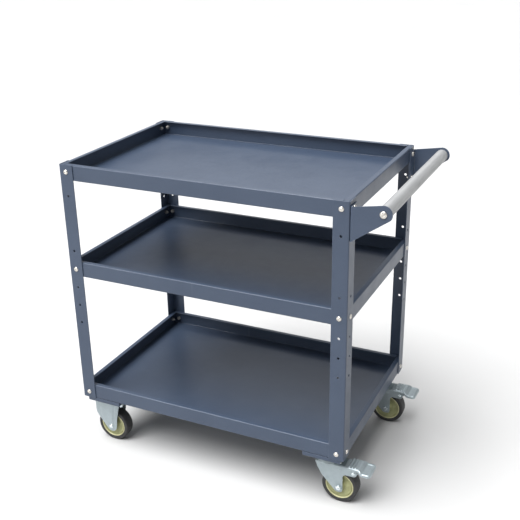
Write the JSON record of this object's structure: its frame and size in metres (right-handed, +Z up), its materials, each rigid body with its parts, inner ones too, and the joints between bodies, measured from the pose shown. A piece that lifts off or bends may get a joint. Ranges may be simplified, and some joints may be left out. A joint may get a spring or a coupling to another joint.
{
  "type": "tool cart",
  "caption": "Open tool cart with stacked folded steel trays on drilled angle posts, a tubular push handle at one end, fixed casters and braked swivel casters.",
  "frame": {"origin": "on the floor under the middle of the whole cart, push handle included", "axes": "+X towards the push handle, +Y towards the rear side, +Z up"},
  "size_m": [0.837, 0.4948, 0.795],
  "materials": {
    "painted_steel": "satin powder coat, blue grey",
    "grey_tube": "matt silver grey coating",
    "zinc_plate": "bright zinc plate",
    "plated_screw": "nickel plate",
    "tyre_rubber": "moulded black rubber",
    "olive_hub": "olive enamel on pressed steel",
    "black_plastic": "moulded",
    "spring_steel": "bare spring steel"
  },
  "bodies": {
    "cart_frame": {"post_front_left": "painted_steel", "post_rear_left": "painted_steel", "post_front_right": "painted_steel", "post_rear_right": "painted_steel", "shelf_top": "painted_steel", "shelf_middle": "painted_steel", "shelf_bottom": "painted_steel", "caster_beam_left": "painted_steel", "caster_beam_right": "painted_steel", "handle_bracket_front": "painted_steel", "handle_bracket_rear": "painted_steel", "handle_tube": "grey_tube", "handle_plug_front": "black_plastic", "handle_plug_rear": "black_plastic", "handle_screw_front": "plated_screw", "handle_screw_rear": "plated_screw", "bracket_screw_front_upper": "plated_screw", "bracket_screw_front_lower": "plated_screw", "bracket_screw_rear_upper": "plated_screw", "bracket_screw_rear_lower": "plated_screw", "front_fixed_fork": "zinc_plate", "front_fixed_axle_bolt": "zinc_plate", "front_fixed_axle_nut": "zinc_plate", "front_fixed_axle_bush": "zinc_plate", "front_swivel_top_plate": "zinc_plate", "front_swivel_kingpin": "zinc_plate", "front_swivel_ball_ring": "zinc_plate", "rear_fixed_fork": "zinc_plate", "rear_fixed_axle_bolt": "zinc_plate", "rear_fixed_axle_nut": "zinc_plate", "rear_fixed_axle_bush": "zinc_plate", "rear_swivel_top_plate": "zinc_plate", "rear_swivel_kingpin": "zinc_plate", "rear_swivel_ball_ring": "zinc_plate"},
    "front_fixed_wheel": {"front_fixed_tyre": "tyre_rubber", "front_fixed_wheel_hub": "olive_hub"},
    "front_swivel_yoke": {"front_swivel_fork": "zinc_plate", "front_swivel_axle_bolt": "zinc_plate", "front_swivel_axle_nut": "zinc_plate", "front_swivel_axle_bush": "zinc_plate", "front_swivel_brake_pin": "zinc_plate", "front_swivel_brake_spring": "spring_steel"},
    "front_swivel_wheel": {"front_swivel_tyre": "tyre_rubber", "front_swivel_wheel_hub": "olive_hub"},
    "front_swivel_brake": {"front_swivel_brake_pedal": "zinc_plate", "front_swivel_brake_shoe": "zinc_plate"},
    "rear_fixed_wheel": {"rear_fixed_tyre": "tyre_rubber", "rear_fixed_wheel_hub": "olive_hub"},
    "rear_swivel_yoke": {"rear_swivel_fork": "zinc_plate", "rear_swivel_axle_bolt": "zinc_plate", "rear_swivel_axle_nut": "zinc_plate", "rear_swivel_axle_bush": "zinc_plate", "rear_swivel_brake_pin": "zinc_plate", "rear_swivel_brake_spring": "spring_steel"},
    "rear_swivel_wheel": {"rear_swivel_tyre": "tyre_rubber", "rear_swivel_wheel_hub": "olive_hub"},
    "rear_swivel_brake": {"rear_swivel_brake_pedal": "zinc_plate", "rear_swivel_brake_shoe": "zinc_plate"}
  },
  "joints": [
    {"name": "front_fixed_wheel_spin", "type": "hinge", "parent": "cart_frame", "child": "front_fixed_wheel", "pos_m": [-0.3575, -0.193, 0.04621], "axis": [0, 1, 0], "continuous": true},
    {"name": "front_swivel_turn", "type": "hinge", "parent": "cart_frame", "child": "front_swivel_yoke", "pos_m": [0.27, -0.193, 0.11], "axis": [0, 0, 1], "continuous": true},
    {"name": "front_swivel_wheel_spin", "type": "hinge", "parent": "front_swivel_yoke", "child": "front_swivel_wheel", "pos_m": [0.305, -0.193, 0.04621], "axis": [0, 1, 0], "continuous": true},
    {"name": "front_swivel_brake_press", "type": "hinge", "parent": "front_swivel_yoke", "child": "front_swivel_brake", "pos_m": [0.341, -0.193, 0.095], "axis": [0, 1, 0], "range_deg": [0, 12]},
    {"name": "rear_fixed_wheel_spin", "type": "hinge", "parent": "cart_frame", "child": "rear_fixed_wheel", "pos_m": [-0.3575, 0.193, 0.04621], "axis": [0, 1, 0], "continuous": true},
    {"name": "rear_swivel_turn", "type": "hinge", "parent": "cart_frame", "child": "rear_swivel_yoke", "pos_m": [0.27, 0.193, 0.11], "axis": [0, 0, 1], "continuous": true},
    {"name": "rear_swivel_wheel_spin", "type": "hinge", "parent": "rear_swivel_yoke", "child": "rear_swivel_wheel", "pos_m": [0.305, 0.193, 0.04621], "axis": [0, 1, 0], "continuous": true},
    {"name": "rear_swivel_brake_press", "type": "hinge", "parent": "rear_swivel_yoke", "child": "rear_swivel_brake", "pos_m": [0.341, 0.193, 0.095], "axis": [0, 1, 0], "range_deg": [0, 12]}
  ]
}
